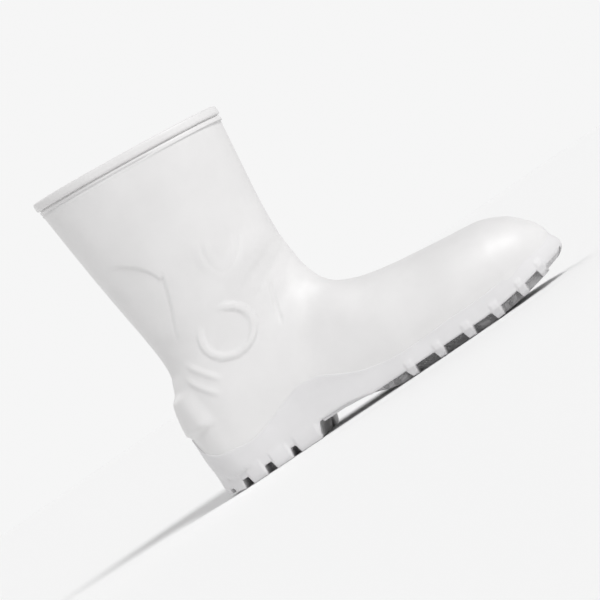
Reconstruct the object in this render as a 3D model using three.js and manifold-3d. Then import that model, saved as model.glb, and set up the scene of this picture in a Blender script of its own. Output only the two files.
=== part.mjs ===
// A short-shaft moulded safety boot for the left foot: a hollow upper with its collar, rand and heel spur
// in one wall, a lugged outsole that closes it underneath, and a loose insole.
// Millimetres. +X points from heel to toe, +Y to the outer (lateral) side, +Z up, z = 0 is the floor.
import * as THREE from 'three';
import { mergeVertices } from 'three/addons/utils/BufferGeometryUtils.js';
import Module from 'manifold-3d';

// Driving sizes
const FOOT_LENGTH = 304;      // outsole, back of the heel to tip of the toe
const BALL_WIDTH = 112;       // outsole across the ball
const HEEL_WIDTH = 84;        // outsole across the heel
const TOE_HEIGHT = 67;        // top of the toe box above the floor
const INSTEP_HEIGHT = 108;    // bottom of the throat above the floor
const SHAFT_HEIGHT = 256;     // back of the collar above the floor
const COLLAR_DROP = 16;       // how much lower the front of the collar is than its back
const COLLAR_LENGTH = 149;    // collar, front to back
const COLLAR_WIDTH = 86;      // collar, side to side
const ANKLE_WIDTH = 75;       // narrowest part of the shaft, side to side
const WALL = 2.6;             // thickness of the upper
const RIM_HEIGHT = 6;         // band round the collar
const RIM_PROUD = 1.1;        // how far that band stands out
const RAND_HEIGHT = 10;       // band of the upper above the sole's edge
const RAND_PROUD = 1.2;       // how far it stands out
const SPUR_PROUD = 2.4;       // ledge on the back of the heel for pulling the boot off
const LUG_DEPTH = 6.5;        // tread face to the floor between the lugs
const SLOT_DEPTH = 4.2;       // tread face to the floor of the pockets in the pads
const PLATE = 4.5;            // thickness of the sole's edge above the lugs
const LUG_WIDTH = 6.5;        // bars across the forefoot
const BAR_PROUD = 0.9;        // bars' ends beyond the sole's edge
const BAR_BEVEL = 7;          // bars' faces stop this far inside the edge, at the forefoot
const LUG_BEVEL = 0.8;        // the same at the heel
const TOE_SPRING = 12;        // rise of the sole's tip
const HEEL_BEVEL = 3.5;       // rise of the sole's back edge
const ARCH_RISE = 13;         // height of the sole's underside at the arch
const ARCH_PAD = 3.5;         // how far the panel and ribs under the arch stand down from it
const RIB_WIDTH = 5;          // flex ribs under the arch
const HEEL_SEAT = 25;         // sole's inner surface above the floor, under the heel
const BALL_SEAT = 15.5;       // the same under the ball
const INSOLE = 4.5;           // thickness of the insole
const FIT = 0.3;              // gap between neighbouring pieces

const wasm = await Module();
wasm.setup();

// Closed geometry to solid, and solid back to geometry
function solidOf(geometry) {
  geometry.deleteAttribute('normal');
  geometry.deleteAttribute('uv');
  const merged = mergeVertices(geometry, 1e-4);
  const vertProperties = new Float32Array(merged.attributes.position.array);
  const triVerts = new Uint32Array(merged.index.array);
  return new wasm.Manifold(new wasm.Mesh({ numProp: 3, vertProperties, triVerts }));
}

function geometryOf(solid) {
  const mesh = solid.getMesh();
  const points = new Float32Array(mesh.numVert * 3);
  for (let i = 0; i < mesh.numVert; i++) {
    for (let k = 0; k < 3; k++) points[3 * i + k] = mesh.vertProperties[mesh.numProp * i + k];
  }
  const geometry = new THREE.BufferGeometry();
  geometry.setAttribute('position', new THREE.BufferAttribute(points, 3));
  geometry.setIndex(new THREE.BufferAttribute(new Uint32Array(mesh.triVerts), 1));
  geometry.computeVertexNormals();
  return geometry;
}

// A closed skin over equal rings of points; the first and last rings are closed by a fan
function skin(rings) {
  const count = rings[0].length;
  const points = [];
  const faces = [];
  for (const ring of rings) for (const p of ring) points.push(p.x, p.y, p.z);
  for (let i = 0; i + 1 < rings.length; i++) {
    for (let j = 0; j < count; j++) {
      const a = i * count + j;
      const b = i * count + (j + 1) % count;
      faces.push(a, b, b + count, a, b + count, a + count);
    }
  }
  for (const [at, flip] of [[0, true], [rings.length - 1, false]]) {
    const middle = new THREE.Vector3();
    for (const p of rings[at]) middle.addScaledVector(p, 1 / count);
    const hub = points.length / 3;
    points.push(middle.x, middle.y, middle.z);
    for (let j = 0; j < count; j++) {
      const a = at * count + j;
      const b = at * count + (j + 1) % count;
      if (flip) faces.push(hub, b, a);
      else faces.push(hub, a, b);
    }
  }
  const geometry = new THREE.BufferGeometry();
  geometry.setAttribute('position', new THREE.Float32BufferAttribute(points, 3));
  geometry.setIndex(faces);
  const solid = solidOf(geometry);
  if (solid.volume() > 0) return solid;
  const flipped = [];
  for (let i = 0; i < faces.length; i += 3) flipped.push(faces[i], faces[i + 2], faces[i + 1]);
  geometry.setIndex(flipped);
  return solidOf(geometry);
}

// Value of a table column at a place, by a smooth curve through the rows
function along(rows, place, column, at) {
  let i = 1;
  while (i < rows.length - 2 && rows[i + 1][place] < at) i++;
  if (rows[1][place] > at) i = 0;
  const p1 = rows[i];
  const p2 = rows[Math.min(i + 1, rows.length - 1)];
  const p0 = rows[Math.max(i - 1, 0)];
  const p3 = rows[Math.min(i + 2, rows.length - 1)];
  const span = p2[place] - p1[place];
  const t = Math.min(Math.max((at - p1[place]) / span, 0), 1);
  const m1 = (p2[column] - p0[column]) / (p2[place] - p0[place]) * span;
  const m2 = (p3[column] - p1[column]) / (p3[place] - p1[place]) * span;
  const t2 = t * t;
  const t3 = t2 * t;
  return (2 * t3 - 3 * t2 + 1) * p1[column] + (t3 - 2 * t2 + t) * m1
    + (3 * t2 - 2 * t3) * p2[column] + (t3 - t2) * m2;
}

function smooth(from, to, x) {
  const t = Math.min(Math.max((x - from) / (to - from), 0), 1);
  return t * t * (3 - 2 * t);
}

// Sole outline. x: share of the length; mid: middle line, share of the ball width;
// heel and ball: what the half width takes of the heel's and the ball's half widths
const OUTLINE = [
  { x: 0.000, mid: 0.022, heel: 0.00, ball: 0.00 },
  { x: 0.020, mid: 0.022, heel: 0.46, ball: 0.00 },
  { x: 0.055, mid: 0.022, heel: 0.72, ball: 0.00 },
  { x: 0.105, mid: 0.023, heel: 0.89, ball: 0.00 },
  { x: 0.170, mid: 0.023, heel: 0.975, ball: 0.00 },
  { x: 0.240, mid: 0.021, heel: 1.00, ball: 0.00 },
  { x: 0.310, mid: 0.004, heel: 0.93, ball: 0.06 },
  { x: 0.370, mid: -0.035, heel: 0.70, ball: 0.22 },
  { x: 0.430, mid: -0.056, heel: 0.45, ball: 0.42 },
  { x: 0.490, mid: -0.046, heel: 0.20, ball: 0.675 },
  { x: 0.560, mid: -0.022, heel: 0.00, ball: 0.915 },
  { x: 0.640, mid: 0.006, heel: 0.00, ball: 0.98 },
  { x: 0.718, mid: 0.021, heel: 0.00, ball: 1.00 },
  { x: 0.790, mid: 0.023, heel: 0.00, ball: 0.965 },
  { x: 0.862, mid: 0.015, heel: 0.00, ball: 0.865 },
  { x: 0.921, mid: -0.003, heel: 0.00, ball: 0.71 },
  { x: 0.960, mid: -0.028, heel: 0.00, ball: 0.52 },
  { x: 0.986, mid: -0.068, heel: 0.00, ball: 0.28 },
  { x: 1.000, mid: -0.096, heel: 0.00, ball: 0.00 },
];

// The outline's rows by the angle whose cosine gives x, so that both ends are round
const ROUND = OUTLINE.map((row) => ({ ...row, turn: Math.acos(1 - 2 * row.x) }));

function soleMid(x) {
  return BALL_WIDTH * along(ROUND, 'turn', 'mid', turnAt(x));
}

function soleHalf(x) {
  const turn = turnAt(x);
  const heel = along(ROUND, 'turn', 'heel', turn) * HEEL_WIDTH / 2;
  const ball = along(ROUND, 'turn', 'ball', turn) * BALL_WIDTH / 2;
  return Math.max(heel + ball, 0.4);
}

function turnAt(x) {
  return Math.acos(1 - 2 * Math.min(Math.max(x / FOOT_LENGTH, 0), 1));
}

// Heights along the sole
function spring(x) {
  return TOE_SPRING * Math.max(0, (x / FOOT_LENGTH - 0.77) / 0.23) ** 1.7;
}

function arch(x) {
  const breast = smooth(0.292, 0.312, x / FOOT_LENGTH);
  const ramp = 1 - smooth(0.455, 0.50, x / FOOT_LENGTH);
  return ARCH_RISE * Math.min(breast, ramp);
}

function heelBevel(x) {
  return HEEL_BEVEL * Math.max(0, 1 - x / (0.072 * FOOT_LENGTH)) ** 1.4;
}

const treadFace = (x) => spring(x) + arch(x) + heelBevel(x);
const lugFloor = (x) => spring(x) + Math.max(LUG_DEPTH, arch(x));
const feather = (x) => LUG_DEPTH + PLATE + spring(x) + arch(x) / 2;
const seat = (x) => spring(x) + BALL_SEAT
  + (HEEL_SEAT - BALL_SEAT) * (1 - smooth(0.36, 0.62, x / FOOT_LENGTH));
const randTop = (x) => feather(x)
  + RAND_HEIGHT * (1 + 0.7 * (1 - smooth(0.25, 0.6, x / FOOT_LENGTH)));

// Stations along the sole, close together at both ends and at the steps of the arch
const STATIONS = [0, 0.004, 0.016, 0.036, 0.064, 0.10, 0.15, 0.21, 0.26, 0.292, 0.298, 0.305, 0.312,
  0.35, 0.39, 0.425, 0.455, 0.47, 0.485, 0.50, 0.55, 0.61, 0.67, 0.73, 0.77, 0.81, 0.85, 0.885, 0.918, 0.945,
  0.966, 0.981, 0.992, 0.998, 1];

// A solid between two heights. Its sides run from the outline moved out by one distance below to the
// outline moved out by another above; negative distances move it in.
function layer(low, high, growLow = () => 0, growHigh = () => 0) {
  const rings = STATIONS.map((share) => {
    const corner = (side, inset, height) => {
      const x = FOOT_LENGTH * share;
      const scale = 1 + inset / (BALL_WIDTH / 2);
      const end = FOOT_LENGTH / 2 + (x - FOOT_LENGTH / 2) * (1 + 2 * inset / FOOT_LENGTH);
      return new THREE.Vector3(end, soleMid(x) + side * soleHalf(x) * scale, height(x));
    };
    const below = growLow(FOOT_LENGTH * share);
    const above = growHigh(FOOT_LENGTH * share);
    return [corner(-1, below, low), corner(1, below, low), corner(1, above, high), corner(-1, above, high)];
  });
  return skin(rings);
}

// The same heights without an outline: a slab wide enough to cut any piece of the boot
function slab(low, high, ends = [-20, FOOT_LENGTH + 20]) {
  const wide = BALL_WIDTH;
  const inner = STATIONS.map((share) => FOOT_LENGTH * share).filter((x) => x > ends[0] && x < ends[1]);
  const rings = [ends[0], ...inner, ends[1]].map((x) => {
    const at = Math.min(Math.max(x, 0), FOOT_LENGTH);
    return [new THREE.Vector3(x, -wide, low(at)), new THREE.Vector3(x, wide, low(at)),
      new THREE.Vector3(x, wide, high(at)), new THREE.Vector3(x, -wide, high(at))];
  });
  return skin(rings);
}

// Sections of the last, from the toe's tip over the instep and round the heel to the collar. Each lies in
// a plane through a front or top point and a back or bottom point.
// Toe box. x, half and mid as shares of the length and ball width; top and base as shares of the toe height
const TOE_BOX = [
  { x: 0.9888, top: 0.470, base: 0.358, half: 0.036, mid: -0.098, wide: 0.50, crown: 2.0, skirt: 2.0 },
  { x: 0.9845, top: 0.549, base: 0.224, half: 0.086, mid: -0.093, wide: 0.54, crown: 2.05, skirt: 2.2 },
  { x: 0.9720, top: 0.642, base: 0.097, half: 0.159, mid: -0.080, wide: 0.56, crown: 2.1, skirt: 2.6 },
  { x: 0.9490, top: 0.751, base: 0.007, half: 0.245, mid: -0.055, wide: 0.57, crown: 2.1, skirt: 3.0 },
  { x: 0.9326, top: 0.819, base: -0.030, half: 0.289, mid: -0.041, wide: 0.57, crown: 2.1, skirt: 3.3 },
  { x: 0.9112, top: 0.878, base: -0.060, half: 0.330, mid: -0.027, wide: 0.57, crown: 2.1, skirt: 3.6 },
  { x: 0.8849, top: 0.934, base: -0.079, half: 0.371, mid: -0.016, wide: 0.57, crown: 2.1, skirt: 3.8 },
  { x: 0.8553, top: 0.973, base: -0.090, half: 0.409, mid: -0.008, wide: 0.58, crown: 2.1, skirt: 4.0 },
  { x: 0.7829, top: 1.013, base: -0.090, half: 0.4565, mid: 0.005, wide: 0.58, crown: 2.05, skirt: 4.0 },
];
// Vamp, throat and heel. topX, bottomX: shares of the length; rise: share of the way from toe height to
// instep height; bottom: share of the instep height; half and mid: shares of the ball width
const VAMP = [
  { topX: 0.7072, rise: 0.098, bottomX: 0.707, bottom: -0.055, half: 0.471, mid: 0.009, wide: 0.60,
    crown: 1.9, skirt: 4.0 },
  { topX: 0.6316, rise: 0.183, bottomX: 0.630, bottom: -0.055, half: 0.457, mid: -0.004, wide: 0.63,
    crown: 1.85, skirt: 4.0 },
  { topX: 0.5658, rise: 0.305, bottomX: 0.555, bottom: -0.055, half: 0.430, mid: -0.027, wide: 0.655,
    crown: 1.8, skirt: 4.0 },
  { topX: 0.5164, rise: 0.463, bottomX: 0.470, bottom: -0.055, half: 0.384, mid: -0.045, wide: 0.66,
    crown: 1.8, skirt: 4.4 },
  { topX: 0.4852, rise: 0.683, bottomX: 0.372, bottom: -0.055, half: 0.350, mid: -0.034, wide: 0.66,
    crown: 1.8, skirt: 5.0 },
  { topX: 0.4688, rise: 0.927, bottomX: 0.268, bottom: -0.055, half: 0.344, mid: -0.002, wide: 0.66,
    crown: 1.8, skirt: 5.0 },
];
// Heel and ankle. Heights as shares of the instep height; half: share of the heel's half width; mid: share
// of the ball width
const HEEL = [
  { topX: 0.4622, top: 1.046, bottomX: 0.155, bottom: -0.055, half: 0.912, mid: 0.008,
    wide: 0.65, crown: 1.85, skirt: 4.6 },
  { topX: 0.4599, top: 1.112, bottomX: 0.058, bottom: -0.037, half: 0.918, mid: 0.011,
    wide: 0.64, crown: 1.85, skirt: 3.5 },
  { topX: 0.4586, top: 1.162, bottomX: 0.013, bottom: 0.148, half: 0.925, mid: 0.012,
    wide: 0.62, crown: 1.9, skirt: 2.7 },
  { topX: 0.4576, top: 1.199, bottomX: 0.008, bottom: 0.426, half: 0.930, mid: 0.011,
    wide: 0.60, crown: 1.9, skirt: 2.45 },
  { topX: 0.4569, top: 1.231, bottomX: 0.014, bottom: 0.611, half: 0.925, mid: 0.009,
    wide: 0.57, crown: 1.95, skirt: 2.3 },
  { topX: 0.4566, top: 1.264, bottomX: 0.027, bottom: 0.741, half: 0.920, mid: 0.006,
    wide: 0.54, crown: 1.95, skirt: 2.2 },
  { topX: 0.4569, top: 1.301, bottomX: 0.043, bottom: 0.852, half: 0.918, mid: 0.003,
    wide: 0.52, crown: 2.0, skirt: 2.1 },
  { topX: 0.4579, top: 1.352, bottomX: 0.050, bottom: 0.981, half: 0.925, mid: 0.000,
    wide: 0.50, crown: 2.0, skirt: 2.05 },
];
// Shaft. front and back: rise as shares of the way from the instep to the collar at each side;
// flare: share of the way from ankle width to collar width; foreX, backX: shares of the collar length
// from the middle of the collar; band: share of the rim band's thickness
const SHAFT = [
  { front: 0.371, back: 0.135, flare: 0.10, foreX: 0.423, backX: 0.424, band: 0 },
  { front: 0.492, back: 0.324, flare: 0.33, foreX: 0.435, backX: 0.444, band: 0 },
  { front: 0.636, back: 0.527, flare: 0.60, foreX: 0.454, backX: 0.464, band: 0 },
  { front: 0.788, back: 0.730, flare: 0.83, foreX: 0.474, backX: 0.481, band: 0 },
  { front: 0.955, back: 0.955, flare: 0.97, foreX: 0.4965, backX: 0.4975, band: 0 },
];
const COLLAR_MIDDLE = 0.2535 * FOOT_LENGTH;  // middle of the collar, from the back of the sole
const RIDGE = -0.035;                        // the instep's ridge lies this share inwards of the middle
const RING = 32;                             // points round each section

// The ridge of the last lies on the inner side over the instep and on the middle at the shaft
function ridgeAt(front) {
  return RIDGE * BALL_WIDTH * smooth(0.47, 0.55, front.x / FOOT_LENGTH);
}

function lastSections() {
  const sections = [];
  const add = (front, back, row, half, mid, band) => {
    sections.push({ front, back, half, mid, band, wide: row.wide, crown: row.crown, skirt: row.skirt });
  };
  for (const row of TOE_BOX) {
    const x = row.x * FOOT_LENGTH;
    const front = new THREE.Vector3(x, 0, row.top * TOE_HEIGHT);
    const back = new THREE.Vector3(x, 0, row.base * TOE_HEIGHT);
    add(front, back, row, row.half * BALL_WIDTH, row.mid * BALL_WIDTH, 0);
  }
  for (const row of VAMP) {
    const top = TOE_HEIGHT + row.rise * (INSTEP_HEIGHT - TOE_HEIGHT);
    const front = new THREE.Vector3(row.topX * FOOT_LENGTH, 0, top);
    const back = new THREE.Vector3(row.bottomX * FOOT_LENGTH, 0, row.bottom * INSTEP_HEIGHT);
    add(front, back, row, row.half * BALL_WIDTH, row.mid * BALL_WIDTH, 0);
  }
  for (const row of HEEL) {
    const front = new THREE.Vector3(row.topX * FOOT_LENGTH, 0, row.top * INSTEP_HEIGHT);
    const back = new THREE.Vector3(row.bottomX * FOOT_LENGTH, 0, row.bottom * INSTEP_HEIGHT);
    add(front, back, row, row.half * HEEL_WIDTH / 2, row.mid * BALL_WIDTH, 0);
  }
  const oval = { wide: 0.5, crown: 2.05, skirt: 2.05 };
  const shaftRow = (row, drop) => {
    const frontTop = SHAFT_HEIGHT - COLLAR_DROP;
    const half = (ANKLE_WIDTH + row.flare * (COLLAR_WIDTH - ANKLE_WIDTH)) / 2;
    const frontZ = INSTEP_HEIGHT + row.front * (frontTop - INSTEP_HEIGHT) - drop;
    const backZ = INSTEP_HEIGHT + row.back * (SHAFT_HEIGHT - INSTEP_HEIGHT) - drop;
    const front = new THREE.Vector3(COLLAR_MIDDLE + row.foreX * COLLAR_LENGTH, 0, frontZ);
    const back = new THREE.Vector3(COLLAR_MIDDLE - row.backX * COLLAR_LENGTH, 0, backZ);
    add(front, back, oval, half, 0, row.band);
  };
  for (const row of SHAFT) shaftRow(row, 0);
  const rim = { front: 1, back: 1, flare: 1, foreX: 0.5, backX: 0.5 };
  shaftRow({ ...rim, band: 0 }, RIM_HEIGHT + 0.6);
  shaftRow({ ...rim, band: 1 }, RIM_HEIGHT);
  shaftRow({ ...rim, band: 1 }, 0.8);
  shaftRow({ ...rim, band: 0.4 }, 0);
  return sections;
}

function ringOf(section) {
  const ring = [];
  for (let j = 0; j < RING; j++) {
    const turn = 2 * Math.PI * j / RING;
    const power = Math.cos(turn) >= 0 ? 2 / section.crown : 2 / section.skirt;
    const reach = Math.abs(Math.cos(turn)) ** power;
    const span = Math.cos(turn) >= 0 ? -section.wide : 1 - section.wide;
    const down = section.wide + span * reach;
    const out = Math.sign(Math.sin(turn)) * Math.abs(Math.sin(turn)) ** power;
    const point = section.front.clone().lerp(section.back, down);
    const lean = Math.max(0, 1 - down / section.wide) * ridgeAt(section.front);
    point.y = section.mid + lean - section.half * out;
    ring.push(point);
  }
  return ring;
}

// The last's surface moved out by a distance, or in where it is negative. A band stands further out.
function last(offset, withBands, above = 0) {
  const sections = lastSections();
  const rings = sections.map(ringOf);
  const moved = rings.map((ring, i) => ring.map((point, j) => {
    const before = rings[Math.max(i - 1, 0)][j];
    const after = rings[Math.min(i + 1, rings.length - 1)][j];
    const left = ring[(j + RING - 1) % RING];
    const right = ring[(j + 1) % RING];
    const normal = after.clone().sub(before).cross(right.clone().sub(left)).normalize();
    const band = withBands ? sections[i].band * RIM_PROUD : 0;
    return point.clone().addScaledVector(normal, offset + band);
  }));
  if (above > 0) {
    const top = moved[moved.length - 1];
    moved.push(top.map((point) => point.clone().add(new THREE.Vector3(0, 0, above))));
  }
  return skin(moved);
}

// A prism on the sole's plan, from a list of corners
function prism(corners, low, high) {
  const shape = new THREE.Shape(corners.map(([x, y]) => new THREE.Vector2(x, y)));
  const geometry = new THREE.ExtrudeGeometry(shape, { depth: high - low, bevelEnabled: false });
  geometry.translate(0, 0, low);
  return solidOf(geometry);
}

// A prism on the side view, right through the boot
function sidePrism(corners) {
  const shape = new THREE.Shape(corners.map(([x, z]) => new THREE.Vector2(x, z)));
  const geometry = new THREE.ExtrudeGeometry(shape, { depth: 2 * BALL_WIDTH, bevelEnabled: false });
  geometry.rotateX(Math.PI / 2);
  geometry.translate(0, BALL_WIDTH, 0);
  return solidOf(geometry);
}

const union = (solids) => solids.reduce((sum, solid) => sum.add(solid));

// Upper: one wall over the last, with the rand and the spur standing out of it
function makeUpper() {
  const below = () => -40;
  const rand = last(RAND_PROUD, false).intersect(slab(below, randTop));
  const ledge = [[-0.08, 0.57], [0.10, 0.53], [0.075, 0.63], [-0.08, 0.72]]
    .map(([x, z]) => [x * FOOT_LENGTH, z * INSTEP_HEIGHT]);
  const spur = last(SPUR_PROUD, false).intersect(sidePrism(ledge));
  const hollow = last(-WALL, false, 30);
  const cut = slab(below, (x) => feather(x) + FIT);
  return last(0, true).add(rand).add(spur).subtract(hollow).subtract(cut);
}

// Bars and blocks of the tread. x: share of the length; inner: where the bar meets the pad, share of the
// ball width; wide: width as a multiple of a forefoot bar's; side: -1 on the inner (medial) side of the
// boot, 1 on its outer (lateral) side
const BARS = [
  { x: 0.112, inner: -0.150, wide: 2.0, side: -1 },
  { x: 0.185, inner: -0.150, wide: 2.2, side: -1 },
  { x: 0.257, inner: -0.150, wide: 2.3, side: -1 },
  { x: 0.565, inner: -0.310, wide: 1, side: -1 },
  { x: 0.644, inner: -0.310, wide: 1, side: -1 },
  { x: 0.725, inner: -0.310, wide: 1, side: -1 },
  { x: 0.804, inner: -0.310, wide: 1, side: -1 },
  { x: 0.878, inner: -0.250, wide: 1, side: -1 },
  { x: 0.138, inner: 0.175, wide: 2.3, side: 1 },
  { x: 0.209, inner: 0.175, wide: 2.15, side: 1 },
  { x: 0.278, inner: 0.175, wide: 2.15, side: 1 },
  { x: 0.546, inner: 0.120, wide: 1.1, side: 1 },
  { x: 0.623, inner: 0.200, wide: 1, side: 1 },
  { x: 0.699, inner: 0.240, wide: 1, side: 1 },
  { x: 0.775, inner: 0.220, wide: 1, side: 1 },
  { x: 0.850, inner: 0.170, wide: 1, side: 1 },
];

// Pads of the tread: corners in order, x as shares of the length, y as shares of the ball width
const BALL_PAD = [[0.488, -0.327], [0.788, -0.327], [0.860, -0.274], [0.893, -0.229], [0.923, -0.158],
  [0.933, -0.024], [0.926, 0.092], [0.910, 0.137], [0.860, 0.182], [0.840, 0.200], [0.785, 0.244],
  [0.765, 0.253], [0.709, 0.262], [0.633, 0.253], [0.613, 0.244], [0.558, 0.200], [0.535, 0.164],
  [0.482, 0.128]];
const HEEL_PAD = [[0.100, -0.149], [0.196, -0.175], [0.304, -0.175], [0.304, 0.092], [0.130, 0.092],
  [0.107, 0.039], [0.097, -0.050]];
const HEEL_WEDGE = [[-0.025, -0.425], [0.061, -0.425], [0.064, -0.292], [0.067, -0.202],
  [0.071, -0.068], [0.064, -0.006], [0.067, 0.092], [0.084, 0.164], [0.097, 0.235], [0.107, 0.298],
  [0.107, 0.467], [-0.025, 0.467]];
const TOE_RIDGE = [[0.936, -0.443], [0.952, -0.443], [0.939, -0.158], [0.936, 0.021], [0.926, 0.200],
  [0.919, 0.378], [0.903, 0.378], [0.913, 0.200], [0.919, 0.021], [0.923, -0.158]];
const TOE_WRAP = [[0.946, -0.425], [1.018, -0.425], [1.018, 0.467], [0.926, 0.467], [0.933, 0.200],
  [0.942, 0.021]];

// Pockets in the pads, and the notch in the back of the heel: corners in order, in the same shares
const POCKETS = [
  [[0.528, -0.247], [0.574, -0.247], [0.610, -0.050], [0.597, -0.037], [0.581, -0.050], [0.538, -0.167]],
  [[0.594, -0.256], [0.640, -0.256], [0.661, -0.158], [0.646, -0.149], [0.623, -0.167]],
  [[0.663, -0.256], [0.715, -0.256], [0.762, -0.042], [0.745, -0.028], [0.725, -0.033], [0.676, -0.175]],
  [[0.735, -0.247], [0.791, -0.238], [0.812, -0.149], [0.798, -0.140], [0.771, -0.158]],
  [[0.814, -0.211], [0.880, -0.149], [0.903, -0.055], [0.887, -0.033], [0.863, -0.042], [0.827, -0.140]],
  [[0.617, -0.131], [0.666, -0.122], [0.691, -0.015], [0.679, 0.012], [0.660, 0.021], [0.630, -0.068]],
  [[0.762, -0.122], [0.814, -0.122], [0.840, -0.024], [0.827, 0.012], [0.808, 0.021], [0.778, -0.059]],
  [[0.554, -0.033], [0.607, -0.015], [0.594, 0.039], [0.558, 0.048]],
  [[0.706, -0.006], [0.758, -0.006], [0.735, 0.057], [0.696, 0.137], [0.683, 0.119], [0.702, 0.057]],
  [[0.847, -0.015], [0.900, -0.015], [0.880, 0.048], [0.850, 0.092], [0.840, 0.075]],
  [[0.594, 0.083], [0.643, 0.092], [0.627, 0.146], [0.607, 0.146]],
  [[0.742, 0.092], [0.791, 0.101], [0.775, 0.155], [0.755, 0.155]],
  [[0.130, -0.006], [0.143, -0.050], [0.176, 0.039], [0.163, 0.075]],
  [[0.183, -0.015], [0.199, -0.059], [0.232, 0.021], [0.219, 0.066]],
  [[0.235, -0.024], [0.248, -0.068], [0.285, 0.021], [0.268, 0.066]],
  [[0.018, -0.167], [0.031, -0.211], [0.061, -0.113], [0.048, -0.077]],
  [[0.008, 0.003], [0.041, 0.008], [0.048, 0.057], [0.015, 0.066]],
];
const HEEL_NOTCH = [[0.046, 0.173], [0.061, 0.159], [0.077, 0.182], [0.076, 0.235], [0.064, 0.325],
  [0.054, 0.557], [0.028, 0.557], [0.038, 0.289]];

// Short ribs across the outer side of the arch, and the pad on its inner side
const ARCH_RIBS = [0.352, 0.388, 0.424];
const ARCH_PANEL = [[0.311, -0.340], [0.36, -0.378], [0.42, -0.408], [0.472, -0.425], [0.472, -0.225],
  [0.42, -0.24], [0.311, -0.272]];

function planCorners(shares) {
  return shares.map(([x, y]) => [x * FOOT_LENGTH, y * BALL_WIDTH]);
}

function makeTread() {
  const top = LUG_DEPTH + TOE_SPRING + PLATE + ARCH_RISE;
  const bars = BARS.map((bar) => {
    const x = bar.x * FOOT_LENGTH;
    const inner = bar.inner * BALL_WIDTH - bar.side;
    const half = bar.wide * LUG_WIDTH / 2;
    const corners = [[x - half, inner], [x + half, inner], [x + half, bar.side * BALL_WIDTH],
      [x - half, bar.side * BALL_WIDTH]];
    return prism(bar.side > 0 ? corners : corners.reverse(), -1, top);
  });
  const pads = [BALL_PAD, HEEL_PAD, HEEL_WEDGE, TOE_RIDGE, TOE_WRAP].map((pad) => (
    prism(planCorners(pad), -1, top)));
  const pockets = POCKETS.map((pocket) => (
    prism(planCorners(pocket), -2, treadFace(pocket[0][0] * FOOT_LENGTH) + SLOT_DEPTH)));
  const notch = prism(planCorners(HEEL_NOTCH), -2, LUG_DEPTH);
  const bevel = (x) => -LUG_BEVEL - (BAR_BEVEL - LUG_BEVEL) * smooth(0.34, 0.50, x / FOOT_LENGTH);
  const envelope = layer(treadFace, (x) => feather(x) - 0.6, bevel, () => BAR_PROUD);
  return union([...bars, ...pads]).subtract(union([...pockets, notch])).intersect(envelope);
}

function makeArch() {
  const ribs = ARCH_RIBS.map((share) => {
    const x = share * FOOT_LENGTH;
    const outer = soleMid(x) + soleHalf(x) + BAR_PROUD;
    return prism([[x - RIB_WIDTH / 2, 0.10 * BALL_WIDTH], [x + RIB_WIDTH / 2, 0.10 * BALL_WIDTH],
      [x + RIB_WIDTH / 2, outer], [x - RIB_WIDTH / 2, outer]], ARCH_RISE - ARCH_PAD, ARCH_RISE + PLATE / 2);
  });
  const panel = prism(planCorners(ARCH_PANEL), ARCH_RISE - ARCH_PAD, ARCH_RISE + PLATE / 2);
  return union([...ribs, panel]);
}

// Outsole: the plate, the tread under it, and the filling that rises inside the upper to the foot's seat
function makeOutsole() {
  const plate = layer(lugFloor, feather);
  const filling = last(-(WALL + FIT), false).intersect(slab((x) => feather(x) - PLATE / 2, seat));
  return plate.add(makeTread()).add(makeArch()).add(filling);
}

// Insole: lies on the sole's seat, inside the upper
function makeInsole() {
  const low = (x) => seat(x) + FIT;
  return last(-(WALL + FIT), false).intersect(slab(low, (x) => low(x) + INSOLE));
}

function meshOf(name, solid, colour, roughness) {
  const material = new THREE.MeshStandardMaterial({ color: colour, roughness, metalness: 0 });
  const mesh = new THREE.Mesh(geometryOf(solid), material);
  mesh.name = name;
  return mesh;
}

const boot = new THREE.Group();
boot.add(meshOf('upper', makeUpper(), 0xefefec, 0.42));
boot.add(meshOf('outsole', makeOutsole(), 0xe4e4e1, 0.5));
boot.add(meshOf('insole', makeInsole(), 0xb9b8b2, 0.9));

// The origin is the middle of the footprint, on the floor
const box = new THREE.Box3().setFromObject(boot);
boot.position.set(-(box.min.x + box.max.x) / 2, -(box.min.y + box.max.y) / 2, -box.min.z);

export default boot;
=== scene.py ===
# %% [markdown]
# # A white moulded safety boot for the left foot
#
# The real boot comes out of a mould in white PVC. The upper and the sole are cast against each other, so
# there is no stitching on it: everything that shows is a moulded edge, ridge, groove or grain. The packed
# solids give its places and sizes. This script loads them as a fixed frame and lays the detail over them.

# %% The frame
import math
import bmesh
import bpy
import numpy as np
from mathutils import Matrix, Vector
from mathutils.bvhtree import BVHTree


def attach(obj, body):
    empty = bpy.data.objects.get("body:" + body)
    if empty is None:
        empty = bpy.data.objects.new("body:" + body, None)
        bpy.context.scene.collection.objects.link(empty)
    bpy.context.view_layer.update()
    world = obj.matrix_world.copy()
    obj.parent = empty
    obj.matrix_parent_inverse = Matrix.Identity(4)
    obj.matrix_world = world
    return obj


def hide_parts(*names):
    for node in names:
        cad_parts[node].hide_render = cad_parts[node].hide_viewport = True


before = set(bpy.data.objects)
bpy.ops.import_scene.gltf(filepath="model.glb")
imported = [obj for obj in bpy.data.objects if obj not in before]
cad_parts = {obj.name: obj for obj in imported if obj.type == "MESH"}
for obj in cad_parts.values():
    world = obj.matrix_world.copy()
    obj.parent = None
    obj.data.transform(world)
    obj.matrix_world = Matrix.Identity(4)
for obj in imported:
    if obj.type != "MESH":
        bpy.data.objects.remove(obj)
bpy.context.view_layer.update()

MM = 0.001
print("solids:", sorted(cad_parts))

# %% [markdown]
# A boot maker works from a last, and reads its sections off at marked places. The same is done here: each
# table holds sizes in millimetres at a few places, and a smooth curve runs through the rows. The curve is
# the usual cubic whose slope at a row is that between its two neighbours.

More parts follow.
